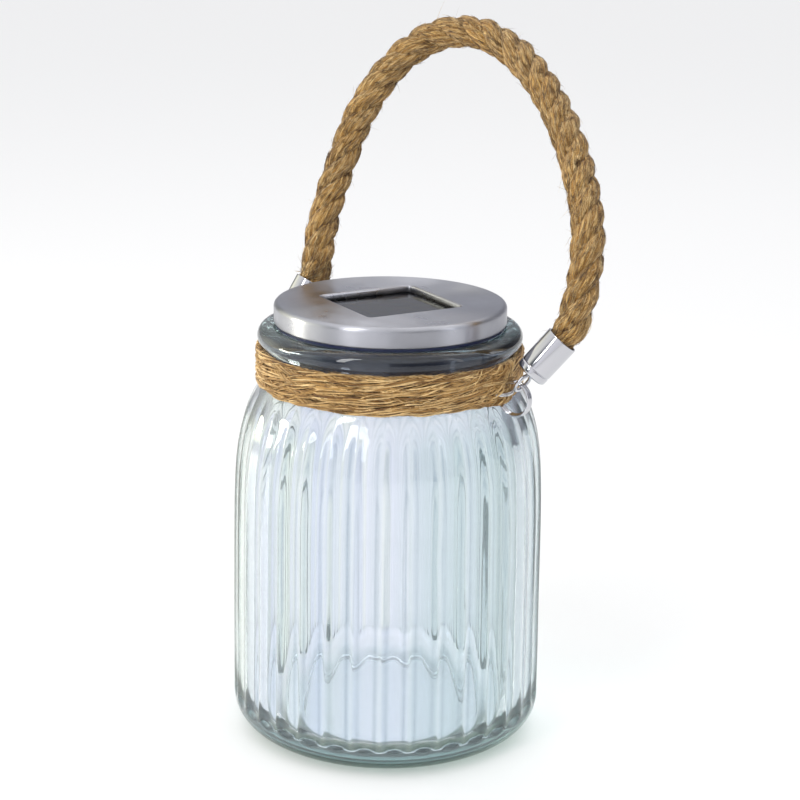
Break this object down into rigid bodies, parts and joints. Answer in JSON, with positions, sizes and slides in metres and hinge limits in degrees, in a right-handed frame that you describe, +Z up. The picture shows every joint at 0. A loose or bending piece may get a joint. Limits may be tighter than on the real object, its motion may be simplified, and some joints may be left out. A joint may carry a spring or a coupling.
{
  "type": "solar jar lantern",
  "caption": "Fluted clear glass jar lantern with a twine-bound neck, a twisted rope handle on rings, and a steel plug lid that holds a solar cell, battery and lamp.",
  "frame": {"origin": "on the table under the jar's centre", "axes": "+Z up along the jar, +X to the right along the handle's swing axis, which passes 4.75 mm behind the jar's centre"},
  "size_m": [0.1341, 0.1237, 0.2482],
  "materials": {
    "jar_glass": "clear pressed glass with a pale blue-green tint, fluted outside and smooth inside",
    "neck_steel": "plain galvanised wire, dull",
    "twine_jute": "thin single-ply jute twine, hairy, golden tan",
    "rope_jute": "thick three-strand twisted jute rope, golden tan with dark grooves and loose straw fibres",
    "bright_plate": "polished nickel plate",
    "cap_steel": "stainless sheet with a fine straight brushed grain and a rolled bright edge",
    "housing_plastic": "moulded blue-black plastic, fine satin texture",
    "tray_plastic": "moulded black plastic",
    "cell_silicon": "dark blue-violet solar cell with thin silver collector lines",
    "cell_resin": "clear epoxy layer over the cell",
    "seal_rubber": "soft black rubber",
    "board_green": "green solder mask over glass fibre",
    "chip_black": "black moulded epoxy",
    "coil_copper": "enamelled copper winding on a ferrite core",
    "lamp_resin": "warm-white clear epoxy lamp",
    "battery_sleeve": "green heat-shrink sleeve with bare steel ends",
    "contact_plate": "nickel-plated spring steel",
    "switch_black": "black nylon",
    "screw_steel": "zinc-plated steel",
    "lead_red": "red insulated wire",
    "lead_black": "black insulated wire"
  },
  "bodies": {
    "jar": {"glass_jar": "jar_glass", "neck_wire": "neck_steel", "neck_twine": "twine_jute", "split_ring_left": "bright_plate", "split_ring_right": "bright_plate"},
    "handle": {"rope_handle": "rope_jute", "ferrule_left": "bright_plate", "ferrule_right": "bright_plate", "ferrule_eye_left": "bright_plate", "ferrule_eye_right": "bright_plate"},
    "lid": {"lid_cap": "cap_steel", "cell_tray": "tray_plastic", "solar_cell": "cell_silicon", "cell_resin": "cell_resin", "tray_screws": "screw_steel", "lid_housing": "housing_plastic", "lid_seal": "seal_rubber", "circuit_board": "board_green", "driver_chip": "chip_black", "choke_coil": "coil_copper", "led_lamp": "lamp_resin", "battery_cell": "battery_sleeve", "contact_positive": "contact_plate", "contact_negative": "contact_plate", "switch_body": "switch_black", "cell_lead_pos": "lead_red", "cell_lead_neg": "lead_black", "battery_lead_pos": "lead_red", "battery_lead_neg": "lead_black"},
    "battery_door": {"battery_door": "housing_plastic"},
    "switch_knob": {"switch_knob": "switch_black"}
  },
  "joints": [
    {"name": "handle_swing", "type": "hinge", "parent": "jar", "child": "handle", "pos_m": [0, 0.00475, 0.134], "axis": [1, 0, 0], "range_deg": [-72, 128]},
    {"name": "lid_lift", "type": "slide", "parent": "jar", "child": "lid", "axis": [0, 0, 1], "range_m": [0, 0.04]},
    {"name": "battery_door_slide", "type": "slide", "parent": "lid", "child": "battery_door", "axis": [0.9388, -0.3445, 0], "range_m": [0, 0.005]},
    {"name": "switch_slide", "type": "slide", "parent": "lid", "child": "switch_knob", "axis": [0.9388, -0.3445, 0], "range_m": [0, 0.0025]}
  ]
}
